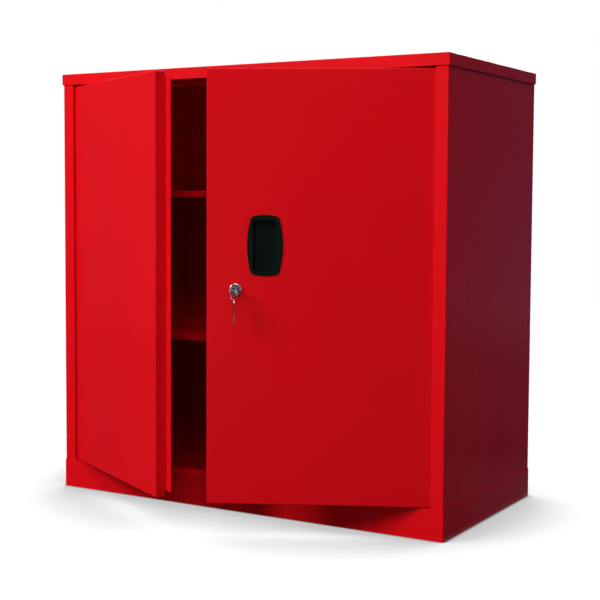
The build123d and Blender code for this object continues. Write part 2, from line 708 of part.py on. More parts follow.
# Ramp in the handle that leads the fingers into its pocket from the hinge side
with BuildPart() as handle_ramp:
    extrude(handle_outline(RIGHT, -HANDLE_RIM, RAMP_INSET), amount=-(HANDLE_RIM + RAMP_D))
    with BuildSketch(RIGHT.plan(HANDLE_Z - POCKET_H / 2 + POCKET_R)):
        with BuildLine():
            Polyline(
                (HANDLE_S, into(-HANDLE_RIM)),
                (HANDLE_S + RAMP_HEAD, into(-HANDLE_RIM)),
                (HANDLE_S + RAMP_FOOT, into(RAMP_D)),
                (HANDLE_S, into(RAMP_D)),
                close=True,
            )
        make_face()
    extrude(amount=POCKET_H - 2 * POCKET_R, mode=Mode.INTERSECT)

# Flush handle: moulded rim and a pocket for the fingers
with BuildPart() as handle_cup:
    extrude(handle_outline(RIGHT, 0, 0), amount=HANDLE_RIM)
    outward = Axis(RIGHT.axis, RIGHT.inward * -1)
    fillet(handle_cup.faces().sort_by(outward)[-1].edges(), HANDLE_RIM_R)
    extrude(handle_outline(RIGHT, 0, HANDLE_SHOULDER), amount=-HANDLE_BODY_D)
    with BuildSketch(RIGHT.face(-HANDLE_RIM)):
        with Locations((HANDLE_S - POCKET_SHIFT, HANDLE_Z)):
            RectangleRounded(POCKET_W, POCKET_H, POCKET_R)
    extrude(amount=-(POCKET_D + HANDLE_RIM), taper=POCKET_DRAFT, mode=Mode.SUBTRACT)
    add(handle_ramp.part, mode=Mode.SUBTRACT)
save(handle_cup.part, "handle_cup")

# Where the rods run, and their guides' screws
ROD_S = {1: LOCK_S - ROD_OFFSET, -1: LOCK_S + ROD_OFFSET}
SCREW_S = {k: s + k * (ROD_W / 2 + GUIDE_CLEAR + GUIDE_EAR / 2) for k, s in ROD_S.items()}
SCREW_SPOTS = [
    (SCREW_S[k], z + step * GUIDE_SCREW_PITCH / 2)
    for k, z in ((-1, GUIDE_Z[0]), (1, GUIDE_Z[1]))
    for step in (-1, 1)
]

# Channel behind the right door's face that carries the rod guides
with BuildPart() as lock_stiffener:
    with BuildSketch(RIGHT.plan(STIFFENER_BOTTOM)):
        with Locations((LOCK_S, into(DOOR_DEPTH - SHEET / 2))):
            Rectangle(LOCK_CHANNEL_W, SHEET)
        for end in (-1, 1):
            spot = LOCK_S + end * (LOCK_CHANNEL_W - SHEET) / 2
            with Locations((spot, into((SHEET + DOOR_DEPTH) / 2))):
                Rectangle(SHEET, DOOR_DEPTH - SHEET)
    extrude(amount=STIFFENER_TOP - STIFFENER_BOTTOM)
    with BuildSketch(RIGHT.face(DOOR_DEPTH - SHEET)):
        with Locations((LOCK_S, LOCK_Z)):
            Circle(LOCK_BODY_D / 2 + LOCK_FIT)
        with Locations(*SCREW_SPOTS):
            Circle(GUIDE_SCREW_D / 2)
    extrude(amount=-SHEET, mode=Mode.SUBTRACT)
save(lock_stiffener.part, "lock_stiffener")

# Lock body: chrome face with a shallow dish, threaded body, bore for the barrel
with BuildPart() as lock_body:
    with BuildSketch(RIGHT.face(0)):
        with Locations((LOCK_S, LOCK_Z)):
            Circle(LOCK_FACE_D / 2)
    extrude(amount=LOCK_FACE_T)
    outward = Axis(RIGHT.axis, RIGHT.inward * -1)
    fillet(lock_body.faces().sort_by(outward)[-1].edges(), LOCK_FACE_T * 0.4)
    with BuildSketch(RIGHT.face(0)):
        with Locations((LOCK_S, LOCK_Z)):
            Circle(LOCK_BODY_D / 2)
    extrude(amount=-LOCK_BODY_L)
    with BuildSketch(RIGHT.face(-LOCK_FACE_T)):
        with Locations((LOCK_S, LOCK_Z)):
            Circle(LOCK_DISH_D / 2)
    extrude(amount=-LOCK_DISH, mode=Mode.SUBTRACT)
    with BuildSketch(RIGHT.face(-LOCK_FACE_T)):
        with Locations((LOCK_S, LOCK_Z)):
            Circle(BARREL_D / 2 + BARREL_CLEAR)
    extrude(amount=-(LOCK_FACE_T + LOCK_BODY_L), mode=Mode.SUBTRACT)
save(lock_body.part, "lock_body")

# Nut that clamps the lock to the door's face from behind
with BuildPart() as lock_nut:
    with BuildSketch(RIGHT.face(SHEET)):
        with Locations((LOCK_S, LOCK_Z)):
            RegularPolygon(NUT_AF / 2, 6, major_radius=False)
            Circle(LOCK_BODY_D / 2 + NUT_CLEAR, mode=Mode.SUBTRACT)
    extrude(amount=-NUT_T)
save(lock_nut.part, "lock_nut")

# Rod guides: nylon blocks on the channel, each with a slot for one rod
with BuildPart() as rod_guides:
    for k, z in ((-1, GUIDE_Z[0]), (1, GUIDE_Z[1])):
        inner = ROD_S[k] - k * (ROD_W / 2 + GUIDE_CLEAR + GUIDE_WALL)
        outer = ROD_S[k] + k * (ROD_W / 2 + GUIDE_CLEAR + GUIDE_EAR)
        with BuildSketch(RIGHT.plan(z - GUIDE_H / 2)):
            with Locations(((inner + outer) / 2, into(DOOR_DEPTH + GUIDE_T / 2))):
                Rectangle(abs(outer - inner), GUIDE_T)
            with Locations((ROD_S[k], into(ROD_DEPTH + ROD_T / 2))):
                Rectangle(ROD_W + 2 * GUIDE_CLEAR, ROD_T + 2 * GUIDE_CLEAR, mode=Mode.SUBTRACT)
        extrude(amount=GUIDE_H)
    with BuildSketch(RIGHT.face(DOOR_DEPTH)):
        with Locations(*SCREW_SPOTS):
            Circle(GUIDE_SCREW_D / 2)
    extrude(amount=-GUIDE_T, mode=Mode.SUBTRACT)
save(rod_guides.part, "rod_guides")

# Screws that hold the guides to the channel
with BuildPart() as guide_screws:
    with BuildSketch(RIGHT.face(DOOR_DEPTH + GUIDE_T)):
        with Locations(*SCREW_SPOTS):
            Circle(GUIDE_SCREW_D / 2)
    extrude(amount=GUIDE_T + SHEET + GUIDE_SCREW_TAIL)
    with BuildSketch(RIGHT.face(DOOR_DEPTH + GUIDE_T)):
        with Locations(*SCREW_SPOTS):
            Circle(GUIDE_SCREW_HEAD_D / 2)
    extrude(amount=-GUIDE_SCREW_HEAD_T)
save(guide_screws.part, "guide_screws")

# Barrel: turns in the lock body, with a keyway in front and a square drive behind
DISH_FLOOR = LOCK_FACE_T - LOCK_DISH
BARREL_FRONT = DISH_FLOOR + BARREL_PROUD
DRIVE_END = CAM_FRONT + CAM_T
with BuildPart() as lock_barrel:
    with BuildSketch(RIGHT.face(-BARREL_FRONT)):
        with Locations((LOCK_S, LOCK_Z)):
            Circle(BARREL_D / 2)
    extrude(amount=-(BARREL_FRONT + LOCK_BODY_L))
    with BuildSketch(RIGHT.face(LOCK_BODY_L)):
        with Locations((LOCK_S, LOCK_Z)):
            Rectangle(DRIVE_SIDE, DRIVE_SIDE, rotation=CAM_REST)
    extrude(amount=-(DRIVE_END - LOCK_BODY_L))
    with BuildSketch(RIGHT.face(-BARREL_FRONT)):
        with Locations((LOCK_S, LOCK_Z)):
            Rectangle(KEYWAY_W, KEYWAY_T, rotation=-KEY_TILT)
    extrude(amount=-(BARREL_FRONT + KEYWAY_D), mode=Mode.SUBTRACT)
    with BuildSketch(RIGHT.face(DRIVE_END)):
        with Locations((LOCK_S, LOCK_Z)):
            Circle(SCREW_D / 2)
    extrude(amount=SCREW_L, mode=Mode.SUBTRACT)
save(lock_barrel.part, "lock_barrel")

# Cam: plate with a pin at each end that drives one rod
CAM_PIN_SPOTS = [
    (LOCK_S + k * CAM_R * cos(radians(CAM_REST)), LOCK_Z + k * CAM_R * sin(radians(CAM_REST)))
    for k in (-1, 1)
]
with BuildPart() as lock_cam:
    with BuildSketch(RIGHT.face(CAM_FRONT)):
        with Locations((LOCK_S, LOCK_Z)):
            SlotOverall(2 * CAM_R + CAM_W, CAM_W, rotation=CAM_REST)
            Rectangle(
                DRIVE_SIDE + 2 * DRIVE_CLEAR, DRIVE_SIDE + 2 * DRIVE_CLEAR, rotation=CAM_REST, mode=Mode.SUBTRACT
            )
    extrude(amount=-CAM_T)
    with BuildSketch(RIGHT.face(CAM_FRONT + CAM_T)):
        with Locations(*CAM_PIN_SPOTS):
            Circle(CAM_PIN_D / 2)
    extrude(amount=-CAM_PIN_L)
save(lock_cam.part, "lock_cam")

# Screw that holds the cam on the barrel's square
with BuildPart() as cam_screw:
    with BuildSketch(RIGHT.face(DRIVE_END)):
        with Locations((LOCK_S, LOCK_Z)):
            Circle(SCREW_D / 2)
    extrude(amount=SCREW_L)
    with BuildSketch(RIGHT.face(DRIVE_END)):
        with Locations((LOCK_S, LOCK_Z)):
            Circle(SCREW_HEAD_D / 2)
    extrude(amount=-SCREW_HEAD_T)
save(cam_screw.part, "cam_screw")


def locking_rod(k: int) -> Part:
    """Flat rod with a slotted yoke for the cam's pin: k is 1 for the upper rod, -1 for the lower."""
    yoke_z = LOCK_Z - k * CAM_R * sin(radians(CAM_REST))
    end_z = HEADER_BOTTOM - ROD_END_GAP if k > 0 else SILL_TOP + ROD_END_GAP
    yoke_h = YOKE_SLOT_H + 2 * YOKE_RIM
    with BuildPart() as rod:
        with BuildSketch(RIGHT.face(ROD_DEPTH)):
            with Locations((ROD_S[k], yoke_z)):
                Rectangle(YOKE_SLOT_W + 2 * YOKE_WALL, yoke_h)
            with Locations((ROD_S[k], (yoke_z + end_z) / 2)):
                Rectangle(ROD_W, abs(end_z - yoke_z))
            with Locations((ROD_S[k], yoke_z)):
                Rectangle(YOKE_SLOT_W, YOKE_SLOT_H, mode=Mode.SUBTRACT)
        extrude(amount=-ROD_T)
    return rod.part


save(locking_rod(1), "upper_rod")
save(locking_rod(-1), "lower_rod")

# Key: in the barrel, its bow standing out of the door
OUTWARD = RIGHT.inward * -1
UP = Vector(0, 0, 1)
LOCK_POINT = RIGHT.axis + RIGHT.along * LOCK_S + OUTWARD * PIVOT_SETBACK + UP * LOCK_Z
TILT = RIGHT.along * cos(radians(KEY_TILT)) - UP * sin(radians(KEY_TILT))
BOW_END = KEY_BOW_OUT + KEY_BOW_L / 2
with BuildPart() as key:
    with BuildSketch(Plane(LOCK_POINT, x_dir=TILT, z_dir=TILT.cross(OUTWARD))):
        with Locations((0, KEY_BOW_OUT)):
            RectangleRounded(KEY_BOW_W, KEY_BOW_L, KEY_BOW_R)
        with Locations((0, (BARREL_FRONT + KEY_BOW_OUT) / 2)):
            Rectangle(KEY_NECK_W, KEY_BOW_OUT - BARREL_FRONT)
        with Locations((0, (BARREL_FRONT - KEY_BLADE_L) / 2)):
            Rectangle(KEY_BLADE_W, BARREL_FRONT + KEY_BLADE_L)
        with Locations((0, BOW_END - KEY_RIM - KEY_HOLE_L / 2)):
            RectangleRounded(KEY_HOLE_W, KEY_HOLE_L, KEY_HOLE_R, mode=Mode.SUBTRACT)
    extrude(amount=KEY_T / 2, both=True)
save(key.part, "key")

# Ring through the bow's hole, hanging on the bow's outer rim
RING_PIVOT = LOCK_POINT + OUTWARD * (BOW_END - KEY_RIM / 2)
RING_DROP = RING_R - RING_WIRE / 2 - KEY_T / 2 / cos(radians(KEY_TILT)) - RING_CLEAR
RING_NORMAL = RIGHT.along * cos(radians(RING_TWIST)) - OUTWARD * sin(radians(RING_TWIST))
with BuildPart(Plane(RING_PIVOT - UP * RING_DROP, x_dir=UP, z_dir=RING_NORMAL)) as key_ring:
    Torus(RING_R, RING_WIRE / 2)
save(key_ring.part, "key_ring")

# Spare key, hanging from the ring
SPARE_FACING = RIGHT.along * cos(radians(SPARE_TWIST)) + OUTWARD * sin(radians(SPARE_TWIST))
SPARE_HOLE = RING_PIVOT - UP * (RING_DROP + RING_R + SPARE_SLACK)
SPARE_BOW_Y = SPARE_HOLE_D / 2 + SPARE_RIM - SPARE_BOW_D / 2
SPARE_TIP_Y = SPARE_BOW_Y - SPARE_BOW_D / 2 - SPARE_BLADE_L
with BuildPart() as spare_key:
    with BuildSketch(Plane(SPARE_HOLE, x_dir=SPARE_FACING, z_dir=SPARE_FACING.cross(UP))):
        with Locations((0, SPARE_BOW_Y)):
            Circle(SPARE_BOW_D / 2)
        with Locations((0, (SPARE_BOW_Y + SPARE_TIP_Y) / 2)):
            Rectangle(SPARE_BLADE_W, SPARE_BOW_Y - SPARE_TIP_Y)
        Circle(SPARE_HOLE_D / 2, mode=Mode.SUBTRACT)
        for step in range(NOTCH_COUNT):
            with Locations((SPARE_BLADE_W / 2, SPARE_TIP_Y + NOTCH_PITCH * (step + 1))):
                Rectangle(NOTCH * 2, NOTCH * 2, rotation=45, mode=Mode.SUBTRACT)
    extrude(amount=SPARE_T / 2, both=True)
save(spare_key.part, "spare_key")
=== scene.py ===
"""Dresses a low red storage cabinet that stands with its doors ajar.

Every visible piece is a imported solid. This script gives each its finish, and sets up the floor,
the lamps, the cards that the gloss reflects, the world and the camera.
"""

from __future__ import annotations

import json
import logging
import math
from dataclasses import dataclass
from enum import Enum
from typing import Iterable, Mapping

import bpy
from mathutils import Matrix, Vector

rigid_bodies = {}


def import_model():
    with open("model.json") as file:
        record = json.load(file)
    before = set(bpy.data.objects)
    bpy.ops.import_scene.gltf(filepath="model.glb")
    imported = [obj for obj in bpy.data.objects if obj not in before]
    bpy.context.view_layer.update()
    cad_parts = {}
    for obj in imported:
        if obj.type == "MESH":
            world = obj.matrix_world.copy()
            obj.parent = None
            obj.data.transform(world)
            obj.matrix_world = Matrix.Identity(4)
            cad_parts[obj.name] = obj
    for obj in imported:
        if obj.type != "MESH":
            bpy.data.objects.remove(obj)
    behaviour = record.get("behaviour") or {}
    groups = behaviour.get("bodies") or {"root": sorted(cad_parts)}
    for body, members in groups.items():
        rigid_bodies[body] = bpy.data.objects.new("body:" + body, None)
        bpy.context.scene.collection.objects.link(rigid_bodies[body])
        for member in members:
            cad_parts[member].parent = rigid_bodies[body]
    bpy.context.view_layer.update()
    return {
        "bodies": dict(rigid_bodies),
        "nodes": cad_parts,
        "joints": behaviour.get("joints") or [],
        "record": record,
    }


LOG = logging.getLogger("cabinet")

Colour = tuple[float, float, float]
Point = tuple[float, float, float]
Socket = bpy.types.NodeSocket

BLACK: Colour = (0.0, 0.0, 0.0)
WHITE: Colour = (1.0, 1.0, 1.0)
FLAT: Point = (0.0, 0.0, 0.0)

# Inputs and outputs that share their names on a node, and so go by place.
MIX_FIRST, MIX_SECOND, MIX_RESULT = 6, 7, 2
UNDER_SHADER, OVER_SHADER = 1, 2


class Slot(Enum):
    """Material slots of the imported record."""

    PAINT = "red_paint"
    STEEL = "plated_steel"
    CHROME = "chrome"
    MOULDING = "black_moulding"
    RUBBER = "buffer_rubber"
    NYLON = "nylon"


def opaque(colour: Colour) -> tuple[float, float, float, float]:
    """Give a colour full alpha."""
    return (*colour, 1.0)


class NodeWriter:
    """Small helper that adds, fills and wires shader nodes in one tree."""

    def __init__(self, tree: bpy.types.NodeTree) -> None:
        """Keep the tree's nodes and links."""
        self.nodes = tree.nodes
        self.links = tree.links

    def add(self, kind: str, **settings: object) -> bpy.types.Node:
        """Add a node and set its properties.

        Args:
            kind: The node's type name.
            settings: Properties of the node.

        Returns:
            The new node.
        """
        node = self.nodes.new(kind)
        for name, value in settings.items():
            setattr(node, name, value)
        return node

    def feed(self, node: bpy.types.Node, values: Mapping[str | int, object]) -> None:
        """Wire or set some of a node's inputs.

        Args:
            node: The node.
            values: For each input's name or place, the socket that feeds it, or its own value.
        """
        for place, value in values.items():
            if isinstance(value, Socket):
                self.links.new(value, node.inputs[place])
            else:
                node.inputs[place].default_value = value

    def math(self, operation: str, *values: object) -> Socket:
        """Add a math node.

        Args:
            operation: The sum that it does.
            values: Its inputs: sockets or numbers.

        Returns:
            Its output.
        """
        node = self.add("ShaderNodeMath", operation=operation)
        self.feed(node, dict(enumerate(values)))
        return node.outputs["Value"]

    def remap(self, value: Socket, low: float, high: float, kind: str = "SMOOTHSTEP") -> Socket:
        """Map a range of values onto 0 to 1.

        Args:
            value: The value to map.
            low: What becomes 0.
            high: What becomes 1.
            kind: How it runs in between, with soft ends unless this says otherwise.

        Returns:
            The mapped value.
        """
        node = self.add("ShaderNodeMapRange", interpolation_type=kind)
        self.feed(node, {"Value": value, "From Min": low, "From Max": high})
        return node.outputs["Result"]

    def blend(self, share: Socket, first: object, second: object) -> Socket:
        """Mix two colours.

        Args:
            share: How much of the second colour shows.
            first: Socket or colour.
            second: Socket or colour.

        Returns:
            The mixed colour.
        """
        node = self.add("ShaderNodeMix", data_type="RGBA")
        self.feed(node, {"Factor": share})
        for place, value in ((MIX_FIRST, first), (MIX_SECOND, second)):
            self.feed(node, {place: opaque(value) if isinstance(value, tuple) else value})
        return node.outputs[MIX_RESULT]

    def noise(self, where: Socket, values: Mapping[str, object]) -> Socket:
        """Add a noise texture.

        Args:
            where: The place that it is read at.
            values: Its other inputs.

        Returns:
            The noise, from 0 to 1.
        """
        node = self.add("ShaderNodeTexNoise")
        self.feed(node, {"Vector": where, **values})
        return node.outputs["Fac"]

    def own_place(self) -> Socket:
        """Give the place on the piece, in its own coordinates."""
        return self.add("ShaderNodeTexCoord").outputs["Object"]

    def seen(self) -> Socket:
        """Make a mask of the rays that look, and don't light.

        Returns:
            1 for camera, glossy and transmission rays, and 0 for all others.
        """
        path = self.add("ShaderNodeLightPath")
        direct = self.math("MAXIMUM", path.outputs["Is Camera Ray"], path.outputs["Is Glossy Ray"])
        return self.math("MAXIMUM", direct, path.outputs["Is Transmission Ray"])


def start_material(name: str) -> tuple[bpy.types.Material, NodeWriter, bpy.types.Node]:
    """Start a material.

    Args:
        name: Its name.

    Returns:
        The material, a writer for its nodes, and its shader.
    """
    made = bpy.data.materials.new(name)
    made.use_nodes = True
    write = NodeWriter(made.node_tree)
    return made, write, write.nodes["Principled BSDF"]


class SurfaceGroup:
    """Shared shader group: broad colour variation, uneven gloss and a fine relief."""

    NAME = "surface_variation"
    INPUTS = (
        ("Vector", "NodeSocketVector"),
        ("Colour", "NodeSocketColor"),
        ("Tint", "NodeSocketColor"),
        ("Tint Amount", "NodeSocketFloat"),
        ("Broad Scale", "NodeSocketFloat"),
        ("Fine Scale", "NodeSocketFloat"),
        ("Roughness", "NodeSocketFloat"),
        ("Gloss Spread", "NodeSocketFloat"),
        ("Relief", "NodeSocketFloat"),
        ("Stretch", "NodeSocketVector"),
    )
    OUTPUTS = (
        ("Colour", "NodeSocketColor"),
        ("Roughness", "NodeSocketFloat"),
        ("Height", "NodeSocketFloat"),
    )
    BROAD_DETAIL = 3.0
    FINE_DETAIL = 2.0
    FINE_ROUGHNESS = 0.45
    NO_TINT, FULL_TINT = 0.35, 0.7
    NOISE_MIDDLE = 0.5

    @classmethod
    def get(cls) -> bpy.types.NodeTree:
        """Build the group once and hand it out.

        Returns:
            The shader node group.
        """
        found = bpy.data.node_groups.get(cls.NAME)
        if found:
            return found
        tree = bpy.data.node_groups.new(cls.NAME, "ShaderNodeTree")
        for way, sockets in (("INPUT", cls.INPUTS), ("OUTPUT", cls.OUTPUTS)):
            for name, kind in sockets:
                tree.interface.new_socket(name=name, in_out=way, socket_type=kind)
        write = NodeWriter(tree)
        source = write.add("NodeGroupInput")
        sink = write.add("NodeGroupOutput")
        given = source.outputs
        stretch = write.add("ShaderNodeVectorMath", operation="MULTIPLY")
        write.feed(stretch, {0: given["Vector"], 1: given["Stretch"]})
        where = stretch.outputs["Vector"]
        broad = write.noise(where, {"Scale": given["Broad Scale"], "Detail": cls.BROAD_DETAIL})
        fine = write.noise(where, {
            "Scale": given["Fine Scale"],
            "Detail": cls.FINE_DETAIL,
            "Roughness": cls.FINE_ROUGHNESS,
        })
        share = write.remap(broad, cls.NO_TINT, cls.FULL_TINT, "LINEAR")
        tinted = write.math("MULTIPLY", share, given["Tint Amount"])
        centred = write.math("SUBTRACT", broad, cls.NOISE_MIDDLE)
        gloss = write.math("MULTIPLY_ADD", centred, given["Gloss Spread"], given["Roughness"])
        write.feed(sink, {
            "Colour": write.blend(tinted, given["Colour"], given["Tint"]),
            "Roughness": gloss,
            "Height": write.math("MULTIPLY", fine, given["Relief"]),
        })
        return tree


@dataclass(frozen=True)
class Finish:
    """One finish: a colour that varies a little, its gloss and its fine relief.

    Attributes:
        name: The material's name.
        slot: The record's slot that it belongs to; not used.
        colour: Main colour.
        tint: Second colour, in broad soft patches.
        broad_scale: Scale of the patches, in waves per metre.
        fine_scale: Scale of the relief, in waves per metre.
        roughness: Middle roughness.
        relief: Strength of the relief.
        depth: Height of the relief, in metres.
        tint_amount: How much of the second colour shows at most.
        gloss_spread: How far the roughness varies with the patches.
        stretch: Factors on the coordinates, under 1 where the pattern is drawn out.
        metallic: 1 for bare metal.
        specular: Level of the gloss on paint and plastic.
        bump: Strength of the bump that carries the relief.
    """

    name: str
    slot: Slot
    colour: Colour
    tint: Colour
    broad_scale: float
    fine_scale: float
    roughness: float
    relief: float
    depth: float
    tint_amount: float = 0.3
    gloss_spread: float = 0.1
    stretch: Point = (1.0, 1.0, 1.0)
    metallic: float = 0.0
    specular: float = 0.5
    bump: float = 0.6

    def material(self) -> bpy.types.Material:
        """Build the finish's material once and hand it out.

        Returns:
            The material.
        """
        found = bpy.data.materials.get(self.name)
        if found:
            return found
        made, write, shader = start_material(self.name)
        surface = write.add("ShaderNodeGroup", node_tree=SurfaceGroup.get())
        write.feed(surface, {
            "Vector": write.own_place(),
            "Colour": opaque(self.colour),
            "Tint": opaque(self.tint),
            "Tint Amount": self.tint_amount,
            "Broad Scale": self.broad_scale,
            "Fine Scale": self.fine_scale,
            "Roughness": self.roughness,
            "Gloss Spread": self.gloss_spread,
            "Relief": self.relief,
            "Stretch": self.stretch,
        })
        bump = write.add("ShaderNodeBump")
        write.feed(bump, {
            "Strength": self.bump,
            "Distance": self.depth,
            "Height": surface.outputs["Height"],
        })
        write.feed(shader, {
            "Metallic": self.metallic,
            "Specular IOR Level": self.specular,
            "Base Color": surface.outputs["Colour"],
            "Roughness": surface.outputs["Roughness"],
            "Normal": bump.outputs["Normal"],
        })
        return made

    def dress(self, piece: bpy.types.Object) -> None:
        """Give a piece this finish on every face.

        Args:
            piece: The mesh object to dress.
        """
        piece.data.materials.clear()
        piece.data.materials.append(self.material())


PAINT = Finish(
    name="red_powder_coat",
    slot=Slot.PAINT,
    colour=(0.70, 0.0038, 0.0080),
    tint=(0.62, 0.0034, 0.0092),
    tint_amount=0.35,
    broad_scale=5.0,
    fine_scale=620.0,
    roughness=0.29,
    gloss_spread=0.14,
    relief=0.5,
    depth=0.0002,
    specular=0.05,
)
STEEL = Finish(
    name="plated_steel",
    slot=Slot.STEEL,
    colour=(0.60, 0.60, 0.62),
    tint=(0.45, 0.45, 0.48),
    tint_amount=0.5,
    broad_scale=60.0,
    fine_scale=900.0,
    roughness=0.3,
    gloss_spread=0.2,
    relief=0.4,
    depth=0.0001,
    stretch=(1.0, 1.0, 0.12),
    metallic=1.0,
)
ROD_STEEL = Finish(
    name="drawn_plated_steel",
    slot=Slot.STEEL,
    colour=(0.56, 0.56, 0.57),
    tint=(0.42, 0.42, 0.44),
    tint_amount=0.6,
    broad_scale=90.0,
    fine_scale=1100.0,
    roughness=0.34,
    gloss_spread=0.25,
    relief=0.6,
    depth=0.0001,
    stretch=(1.0, 1.0, 0.03),
    metallic=1.0,
)
NICKEL = Finish(
    name="worn_nickel",
    slot=Slot.STEEL,
    colour=(0.30, 0.28, 0.28),
    tint=(0.17, 0.155, 0.15),
    tint_amount=0.6,
    broad_scale=150.0,
    fine_scale=1600.0,
    roughness=0.28,
    gloss_spread=0.3,
    relief=0.5,
    depth=0.00006,
    stretch=(1.0, 1.0, 0.3),
    metallic=1.0,
)
CHROME = Finish(
    name="polished_chrome",
    slot=Slot.CHROME,
    colour=(0.68, 0.68, 0.70),
    tint=(0.46, 0.46, 0.50),
    tint_amount=0.3,
    broad_scale=120.0,
    fine_scale=1500.0,
    roughness=0.12,
    gloss_spread=0.1,
    relief=0.1,
    depth=0.00003,
    metallic=1.0,
)
MOULDING = Finish(
    name="black_moulded_plastic",
    slot=Slot.MOULDING,
    colour=(0.0013, 0.0050, 0.0030),
    tint=(0.0022, 0.0068, 0.0042),
    tint_amount=0.5,
    broad_scale=40.0,
    fine_scale=1400.0,
    roughness=0.42,
    gloss_spread=0.15,
    relief=0.6,
    depth=0.00015,
    specular=0.08,
)
RUBBER = Finish(
    name="black_rubber",
    slot=Slot.RUBBER,
    colour=(0.02, 0.02, 0.02),
    tint=(0.035, 0.033, 0.032),
    broad_scale=80.0,
    fine_scale=900.0,
    roughness=0.8,
    relief=0.5,
    depth=0.0002,
    specular=0.3,
)
NYLON = Finish(
    name="natural_nylon",
    slot=Slot.NYLON,
    colour=(0.62, 0.60, 0.53),
    tint=(0.50, 0.48, 0.42),
    broad_scale=50.0,
    fine_scale=800.0,
    roughness=0.5,
    relief=0.3,
    depth=0.0001,
)


@dataclass
class SubAssembly:
    """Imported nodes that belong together; each kind says what its own pieces are finished in."""

    frame: dict

    def dress(self, finish: Finish, *names: str) -> None:
        """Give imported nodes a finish.

        Args:
            finish: The finish that they get.
            names: The nodes' names.
        """
        for name in names:
            finish.dress(self.frame["nodes"][name])
            LOG.info("%s: %s in %s", type(self).__name__, name, finish.name)

    def build(self) -> None:
        """Make and dress the pieces of this sub-assembly."""
        raise NotImplementedError


@dataclass
class Shell(SubAssembly):
    """Folded sheet body: plinth, floor, sides, back, cap and the two rails."""

    def build(self) -> None:
        """Dress every sheet of the body in the red coat."""
        self.dress(PAINT, "plinth", "floor_pan", "top_cap", "header_rail", "sill_rail")
        self.dress(PAINT, "left_side_panel", "right_side_panel", "back_panel")


@dataclass
class Shelving(SubAssembly):
    """Slotted uprights, two shelves and the hangers that hook them in."""

    def build(self) -> None:
        """Dress the shelves, hangers and uprights like the body."""
        self.dress(PAINT, "left_uprights", "right_uprights")
        self.dress(PAINT, "upper_shelf", "upper_shelf_hangers")
        self.dress(PAINT, "lower_shelf", "lower_shelf_hangers")


@dataclass
class Pivots(SubAssembly):
    """Brackets, pins and bushes that the doors turn on, and the buffers that they shut against."""

    def build(self) -> None:
        """Dress the painted metal, the moulded bushes and the rubber buffers."""
        self.dress(PAINT, "top_pivot_brackets", "bottom_pivot_plates", "pivot_pins")
        self.dress(MOULDING, "left_door_bushes", "right_door_bushes")
        self.dress(RUBBER, "door_buffers")


@dataclass
class Doors(SubAssembly):
    """Both folded door trays with their stiffening channels and the meeting strip."""

    def build(self) -> None:
        """Dress everything on the doors that is painted."""
        self.dress(PAINT, "left_door_panel", "left_door_stiffener", "left_meeting_strip")
        self.dress(PAINT, "right_door_panel", "right_door_stiffener", "lock_stiffener")


@dataclass
class Handle(SubAssembly):
    """Recessed finger cup, moulded in one with its rim."""

    def build(self) -> None:
        """Dress the cup as black moulded plastic."""
        self.dress(MOULDING, "handle_cup")


@dataclass
class LockWorks(SubAssembly):
    """Cam lock and the two rods that it drives."""

    def build(self) -> None:
        """Dress the polished face, the plated works behind it and the nylon guides."""
        self.dress(CHROME, "lock_body")
        self.dress(STEEL, "lock_nut", "lock_cam", "cam_screw", "guide_screws")
        self.dress(NICKEL, "lock_barrel")
        self.dress(ROD_STEEL, "upper_rod", "lower_rod")
        self.dress(NYLON, "rod_guides")


@dataclass
class Keys(SubAssembly):
    """The key in the lock, its ring and the spare key that hangs from it."""

    def build(self) -> None:
        """Dress the keys and the ring in worn nickel."""
        self.dress(NICKEL, "key", "spare_key", "key_ring")


def add_plane(name: str, size: float, place: Point, turn: Point = FLAT) -> bpy.types.Object:
    """Add a square plane.

    Args:
        name: Its name.
        size: The length of its sides.
        place: Its middle.
        turn: How it is turned, in radians.

    Returns:
        The plane.
    """
    bpy.ops.object.select_all(action="DESELECT")
    bpy.ops.mesh.primitive_plane_add(size=size, location=place, rotation=turn)
    plane = bpy.context.object
    plane.name = name
    return plane


def start_glow(name: str) -> tuple[bpy.types.Material, NodeWriter, bpy.types.Node]:
    """Start a material that shines by itself and has no gloss.

    Args:
        name: Its name.

    Returns:
        The material, a writer for its nodes, and its shader.
    """
    made, write, shader = start_material(name)
    write.feed(shader, {"Specular IOR Level": 0.0, "Emission Strength": 1.0})
    return made, write, shader


@dataclass(frozen=True)
class Lamp:
    """One soft square lamp, or a small ball lamp where it has no aim.

    Attributes:
        name: The lamp's name.
        place: Where it hangs.
        size: Side of the square or radius of the ball, in metres.
        watts: Its power.
        aim: The point that it shines at.
    """

    name: str
    place: Point
    size: float
    watts: float
    aim: Point | None = None

    def hang(self) -> None:
        """Hang the lamp."""
        data = bpy.data.lights.new(self.name, "AREA" if self.aim else "POINT")
        data.energy = self.watts
        lamp = bpy.data.objects.new(self.name, data)
        lamp.location = self.place
        if self.aim:
            data.size = self.size
            way = Vector(self.aim) - Vector(self.place)
            lamp.rotation_euler = way.to_track_quat("-Z", "Y").to_euler()
        else:
            data.shadow_soft_size = self.size
        bpy.context.scene.collection.objects.link(lamp)


class Tone(Enum):
    """Dark and light ends of the tones that a studio card may have."""

    GREY = ((0.04, 0.04, 0.05), (0.16, 0.15, 0.19))
    VIOLET = ((0.08, 0.06, 0.17), (0.36, 0.28, 0.60))
    DIM = ((0.02, 0.02, 0.03), (0.10, 0.09, 0.12))
    DUSK = ((0.10, 0.09, 0.18), (0.28, 0.25, 0.42))


